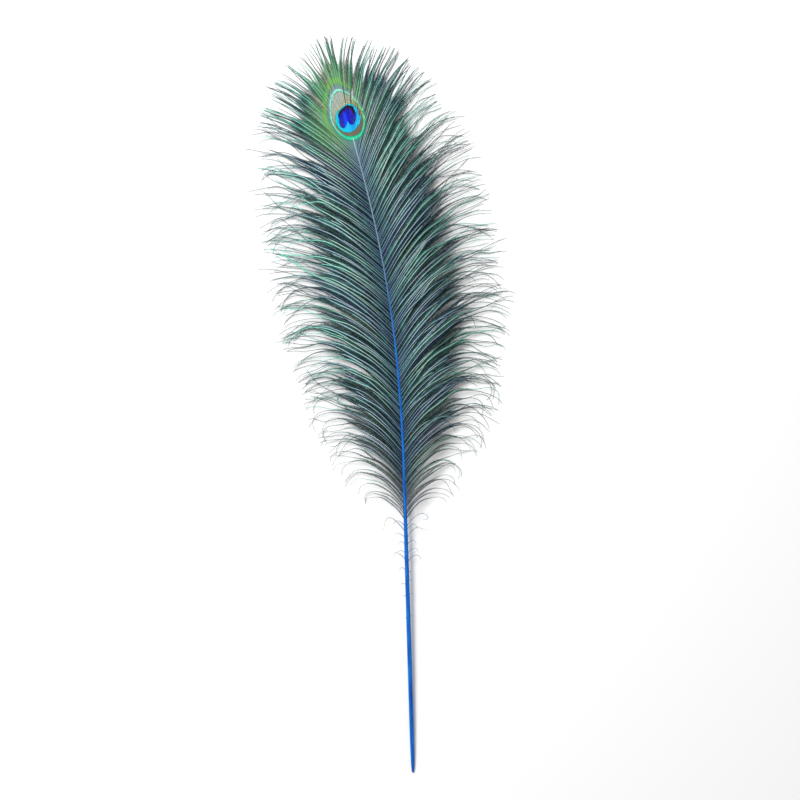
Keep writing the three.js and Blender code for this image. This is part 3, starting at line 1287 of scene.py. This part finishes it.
    def _bends(self, station: np.ndarray, steps: int, short: np.ndarray) -> np.ndarray:
        """Degrees that each barb bends away from its usual line at each step.

        Args:
            station: Where the barbs leave the shaft.
            steps: The number of steps of each line.
            short: Whether each barb is a short one that lies on top, in rows of one.

        Returns:
            Degrees in an array of barbs by steps.
        """
        rng, disorder, each = self.rng, self.disorder, (len(station), 1)
        share = (np.arange(steps) + 0.5) / steps
        loose = self.growth.looseness(station)[:, None]
        outer = np.clip(share - disorder.outer_from, 0, 1) / (1 - disorder.outer_from)
        droop = disorder.droop + disorder.low_droop * loose
        droop = droop + rng.normal(0, disorder.droop_spread, each) * (1 + loose)
        droop = droop * outer**disorder.droop_curve
        strays = rng.random(each) < disorder.strays
        stray = strays * np.clip(rng.normal(*disorder.stray_bend, each), *disorder.stray_limits) * outer
        sway = rng.normal(0, disorder.sway, each) * share
        waves = np.zeros((len(station), steps))
        for turns, size in disorder.waves:
            phase = rng.uniform(0, 2 * np.pi, each)
            waves += rng.normal(0, size, each) * np.sin(phase + share * 2 * np.pi * turns) * share**2
        waves *= 1 + disorder.low_waves * loose
        bend = (droop + stray + sway + waves) * disorder.amount + rng.normal(0, disorder.lean, each)
        for split in self.splits:
            below = np.where(station < split, np.exp((station - split) / self.split_fading), 0.0)
            bend += self.split_width * below[:, None] * ease(share, *self.split_onset)
        if self.stretch is not Stretch.EYE:
            bend += short * rng.uniform(*disorder.hook, each) * outer
        return bend

    def _tufts(self, station: np.ndarray) -> np.ndarray:
        """Groups the barbs in tufts.

        Args:
            station: Where the barbs leave the shaft.

        Returns:
            The number of each barb's tuft.
        """
        edges = [float(station[0]) - 1]
        while edges[-1] < station[-1]:
            edges.append(edges[-1] + self.rng.uniform(*self.disorder.tuft))
        return np.searchsorted(edges, station) - 1

    def _gathered(
        self, lines: np.ndarray, group: np.ndarray, pull: tuple[float, float], draw: np.ndarray
    ) -> np.ndarray:
        """Draws the barbs of each group together.

        Args:
            lines: The barbs' middle lines.
            group: The number of each barb's group.
            pull: Least and greatest share of the way that a group's barbs are drawn.
            draw: How far that takes hold along a barb.

        Returns:
            The lines after gathering.
        """
        share = self.rng.uniform(*pull, group.max() + 1)
        gathered = lines.copy()
        for number in np.unique(group):
            members = group == number
            middle = lines[members].mean(axis=0)
            gathered[members] += (middle - lines[members]) * (share[number] * draw)[None, :, None]
        return gathered

    def _directions(self, lines: np.ndarray) -> tuple[np.ndarray, np.ndarray, np.ndarray]:
        """Finds directions at each point of some lines.

        Args:
            lines: The lines, in arrays of lines by points by 3.

        Returns:
            Directions along, across and above them, in arrays of the same shape.
        """
        along = np.gradient(lines, axis=1)
        along /= np.linalg.norm(along, axis=-1, keepdims=True)
        across = np.cross(along, UP)
        across /= np.linalg.norm(across, axis=-1, keepdims=True)
        return along, across, np.cross(across, along)

    def _barbule_size(
        self, barbs: Barbs, station: np.ndarray, across: np.ndarray
    ) -> tuple[np.ndarray, np.ndarray]:
        """Each barbule's length and the width of its tip.

        Inside the eye they are broad and meet the next barb, and elsewhere they follow the profile: broad
        enough to close the vane near the shaft, and pointed further out.

        Args:
            barbs: The barbs.
            station: Where they leave the shaft.
            across: Directions across them.

        Returns:
            Lengths in millimetres and tip widths as shares of the base, in arrays of barbs by steps.
        """
        lines, plan = barbs.lines, self.barbules
        steps = lines.shape[1] - 1
        share = (np.arange(steps) + 0.5) / steps
        loose = np.broadcast_to(plan.length.at(share), (len(lines), steps))
        if self.stretch is Stretch.STEM:
            return loose * plan.wisp_length, np.full_like(loose, plan.tip_width[0])
        gap = np.abs(np.sum((lines[1:] - lines[:-1]) * across[:-1], axis=-1))[:, :-1]
        below, above = np.concatenate([gap, gap[-1:]]), np.concatenate([gap[:1], gap])
        packed = np.clip(np.maximum(below, above) * plan.overlap, *plan.closing_length)
        fullness = self.growth.fullness(station)[:, None]
        loose = loose * blend(plan.sparse_length, 1.0, fullness)
        closed = (1 - ease(share, *plan.closed_until)) * blend(plan.sparse_closed, 1.0, fullness)
        if self.stretch is Stretch.EYE:
            pattern = self.eye.fields(barbs.grown[:, :-1])
            inside = 1 - ease(pattern["ring"], *self.eye.firm_until)
            open_gap = ease(pattern["disc"], *self.eye.splits_open) if self.splits else 0.0
            gap = np.maximum(below, above) - np.abs(above - below) * open_gap
            packed = blend(packed, np.clip(gap * plan.eye_overlap, *plan.eye_closing_length), inside)
            closed = np.maximum(closed, inside)
        return blend(loose, packed, closed), blend(*plan.tip_width, closed)

    def _add_barbules(self, mesh: PieceMesh, barbs: Barbs, station: np.ndarray) -> None:
        """Adds both rows of barbules of every barb.

        Args:
            mesh: The mesh under construction.
            barbs: The barbs.
            station: Where the barbs leave the shaft.
        """
        lines, plan = barbs.lines, self.barbules
        size = (lines.shape[0], lines.shape[1] - 1)
        along, across, above = self._directions(lines)
        length, tip_share = self._barbule_size(barbs, station, across)
        middle = (lines[:, :-1] + lines[:, 1:]) / 2
        half = (lines[:, 1:] - lines[:, :-1]) / 2 * tip_share[..., None]
        for hand in (1, -1):
            slant = np.radians(plan.slant + self.rng.normal(0, plan.slant_spread, size))[..., None]
            lift = np.radians(plan.lift + self.rng.normal(0, plan.lift_spread, size))[..., None]
            outward = across[:, :-1] * hand * np.cos(slant) + along[:, :-1] * np.sin(slant)
            direction = outward * np.cos(lift) + above[:, :-1] * np.sin(lift)
            uneven = 1 + self.rng.normal(0, plan.length_spread, size)
            tip = middle + direction * (length * uneven)[..., None]
            tip[..., 2] = np.maximum(tip[..., 2], plan.lowest)
            self._add_row(mesh, barbs, (tip - half, tip + half), hand)

    def _add_row(
        self, mesh: PieceMesh, barbs: Barbs, tips: tuple[np.ndarray, np.ndarray], hand: int
    ) -> None:
        """Adds one row of barbules on one hand of every barb.

        Args:
            mesh: The mesh under construction.
            barbs: The barbs.
            tips: The barbules' outer corners, towards the shaft and towards the barb's tip.
            hand: 1 for the barbs' right, -1 for their left.
        """
        steps = tips[0].shape[1]
        share = np.linspace(0, 1, steps + 1)
        middle = (share[:-1] + share[1:]) / 2
        shift = barbs.grown - barbs.lines
        middle_shift = (shift[:, :-1] + shift[:, 1:]) / 2
        points = np.concatenate([barbs.lines, *tips], axis=1)
        grown = points + np.concatenate([shift, middle_shift, middle_shift], axis=1)
        across = np.concatenate([np.zeros(steps + 1), np.ones(2 * steps)])
        base = np.arange(steps)
        corners = [base, base + steps + 1, base + 2 * steps + 1, base + 1]
        faces = np.stack(corners if hand > 0 else corners[::-1], axis=-1)
        fields = {"along": np.concatenate([share, middle, middle]), "across": across}
        sideways = hand * blend(self.beside_rib, 1.0, across)
        self._add_barbwise(mesh, Barbs(points, grown, barbs.own), faces, fields, sideways)

    def _add_ribs(self, mesh: PieceMesh, barbs: Barbs) -> None:
        """Adds the barbs' thin three-sided ribs, flat side up, with their seam along the underside.

        Args:
            mesh: The mesh under construction.
            barbs: The barbs.
        """
        plan = self.ribs
        sides = len(plan.corners)
        lines = barbs.lines[:, :: plan.every]
        shift = barbs.grown[:, :: plan.every] - lines
        count, rings = lines.shape[:2]
        across, above = self._directions(lines)[1:]
        share = np.linspace(0, 1, rings)
        thick = blend(*plan.radius, share**plan.taper)[None, :]
        thick = thick * blend(*plan.radius_by_shade, barbs.own["painted_light"])[:, None]
        angle = np.radians(plan.corners)
        around = across[:, :, None] * np.cos(angle)[:, None] + above[:, :, None] * np.sin(angle)[:, None]
        points = (lines[:, :, None] + around * thick[..., None, None]).reshape(count, -1, 3)
        points[..., 2] = np.maximum(points[..., 2], plan.lowest)
        grown = points + np.repeat(shift, sides, axis=1)
        fields = {"along": np.repeat(share, sides), "across": np.zeros(rings * sides)}
        sideways = np.tile(plan.sideways, rings)
        faces = tube_faces(rings, sides)
        self._add_barbwise(mesh, Barbs(points, grown, barbs.own), faces, fields, sideways)

    def _add_barbwise(
        self,
        mesh: PieceMesh,
        barbs: Barbs,
        faces: np.ndarray,
        fields: dict[str, np.ndarray],
        sideways: np.ndarray,
    ) -> None:
        """Adds points that are laid out barb by barb, with their fields and bake layout.

        Args:
            mesh: The mesh under construction.
            barbs: The points, in arrays of barbs by points by 3.
            faces: One barb's faces.
            fields: Fields with one value for each point of a barb.
            sideways: Where each point lies across its barb's strip of the bake layout, from -1 to 1.
        """
        count, each = barbs.lines.shape[:2]
        strip = (np.arange(count)[:, None] + 0.5 + self.strip_half * sideways[None, :]) / count
        reach = blend(self.strip_margin, 1 - self.strip_margin, fields["along"])
        layout = np.stack([np.broadcast_to(reach, (count, each)), strip], axis=-1).reshape(-1, 2)
        all_faces = (faces[None] + (np.arange(count) * each)[:, None, None]).reshape(-1, 4)
        values = {name: one.ravel() for name, one in self.eye.fields(barbs.grown).items()}
        values |= {name: np.tile(one, count) for name, one in fields.items()}
        values |= {name: np.repeat(one, each) for name, one in barbs.own.items()}
        # The barbules' light: the barb's painted light, plus the lighter tone of its outer stretch
        tip = self.light_by_tip * ease(values["along"], *self.tip_light)
        values["light"] = self.light_by_shade * values["painted_light"] + tip - self.darkness
        mesh.add(barbs.lines.reshape(-1, 3), all_faces, layout, values)


@dataclass
class Feather:
    """The whole feather: shaft, wisps on the bare stem, two vanes and the barbs of the eye."""

    growth: Growth = Growth()
    seeds: tuple[int, ...] = (10, 20, 40, 30)  # of the rows from the stem to the eye, plus the side's -1 or 1
    right_splits: tuple[float, float] = (717.5, 711.0)  # stations of the partings in the eye, with painted shade along them
    end_layer: float = 1.0  # millimetres from the solid's lower end that belong to the quill's cut

    def origin(self) -> np.ndarray:
        """Finds where the quill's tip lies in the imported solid.

        Returns:
            That place in millimetres, on the surface.
        """
        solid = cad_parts[NODE].data
        points = np.empty(len(solid.vertices) * 3)
        solid.vertices.foreach_get("co", points)
        points = points.reshape(-1, 3) / MM
        end = points[points[:, 1] < points[:, 1].min() + self.end_layer]
        middle = (end.min(axis=0) + end.max(axis=0)) / 2
        return np.array([middle[0], middle[1], 0.0])

    def rows(self, side: Side) -> list[BarbRow]:
        """Plans the rows of barbs on one side, from the stem to the eye.

        Args:
            side: The side.

        Returns:
            The rows, not built yet.
        """
        where = (self.growth, EyePlan(self.growth), side)
        stem, lower, upper, eye = (seed + side.value for seed in self.seeds)
        firm = Disorder(
            amount=0.4,
            strand_pull=(0.1, 0.7),
            strand_reach=(0.45, 1.05),
            tuft=(4.0, 12.0),
            tuft_pull=(0.05, 0.5),
            sway=3.8,
            lean=0.7,
            layering=1.1,
        )
        packed = Barbules(
            spacing=0.45,
            length=Profile(((0, 1.4), (0.08, 1.8), (0.5, 1.6), (0.72, 1.0), (0.9, 0.65), (1, 0.3))),
            lift=-6.0,
            closed_until=(0.5, 0.8),
        )
        splits = self.right_splits if side is Side.RIGHT else ()
        return [
            BarbRow(*where, Stretch.STEM, stem, spacing=13.0, barbules=Barbules(0.62), crowding=0.5),
            BarbRow(*where, Stretch.LOWER, lower, spacing=2.1, barbules=Barbules(0.6), crowding=0.78),
            BarbRow(*where, Stretch.UPPER, upper, spacing=1.7, barbules=Barbules(0.6)),
            BarbRow(*where, Stretch.EYE, eye, spacing=1.15, barbules=packed, disorder=firm, splits=splits),
        ]

    def build(self) -> None:
        """Builds and dresses every piece."""
        origin = self.origin()
        loose, packed = LooseBarbKeratin().build(), EyeKeratin().build()
        shaft = Shaft(self.growth)
        shaft.dress(shaft.build(origin))
        for side in Side:
            for row in self.rows(side):
                row.dress(row.build(origin), loose, packed)


@dataclass
class Studio:
    """A pale floor, plain soft light and a camera that looks straight down."""

    floor_size: float = 8.0
    floor_colour: str = "#F4F4F4"
    world_strength: float = 0.42
    key_place: tuple[float, float, float] = (-1.1, 1.0, 2.2)
    key_size: float = 1.3
    key_power: float = 78.0
    camera_height: float = 2.45
    focal_length: float = 100.0
    turn: float = 6.7  # degrees that the picture's upward direction lies to the right of +Y
    aim: tuple[float, float] = (0.0, 0.0)

    def build(self) -> None:
        """Builds the studio."""
        self._floor()
        self._light()
        self._camera()

    def _floor(self) -> None:
        """Lays the floor."""
        gloss = {"Base Color": linear(self.floor_colour), "Roughness": 0.9, "Specular IOR Level": 0.1}
        material, _ = new_material("pale_floor", gloss)
        half = self.floor_size / 2
        mesh = bpy.data.meshes.new("floor")
        corners = [(-half, -half, 0), (half, -half, 0), (half, half, 0), (-half, half, 0)]
        mesh.from_pydata(corners, [], [(0, 1, 2, 3)])
        mesh.materials.append(material)
        floor = bpy.data.objects.new("floor", mesh)
        bpy.context.scene.collection.objects.link(floor)

    def _light(self) -> None:
        """Sets an even white sky and one broad soft lamp."""
        scene = bpy.context.scene
        world = bpy.data.worlds.new("soft_sky")
        world.use_nodes = True
        background = world.node_tree.nodes["Background"]
        background.inputs["Color"].default_value = (1.0, 1.0, 1.0, 1.0)
        background.inputs["Strength"].default_value = self.world_strength
        scene.world = world
        scene.view_settings.view_transform = "Standard"
        lamp = bpy.data.lights.new("broad_lamp", "AREA")
        lamp.size = self.key_size
        lamp.energy = self.key_power
        holder = bpy.data.objects.new("broad_lamp", lamp)
        holder.location = self.key_place
        x, y, z = self.key_place
        holder.rotation_euler = (math.atan2(math.hypot(x, y), z), 0.0, math.atan2(-x, y) + math.pi)
        scene.collection.objects.link(holder)

    def _camera(self) -> None:
        """Hangs the camera over the feather, turned so that the eye leans to the left."""
        lens = bpy.data.cameras.new("camera")
        lens.lens = self.focal_length
        lens.sensor_width = 36.0
        holder = bpy.data.objects.new("camera", lens)
        holder.location = (self.aim[0], self.aim[1], self.camera_height)
        holder.rotation_euler = (0.0, 0.0, -math.radians(self.turn))
        bpy.context.scene.collection.objects.link(holder)
        bpy.context.scene.camera = holder


def main() -> None:
    """Builds the feather and its studio."""
    logging.basicConfig(level=logging.INFO, format="%(name)s: %(message)s")
    Feather().build()
    Studio().build()


if __name__ == "__main__":
    main()
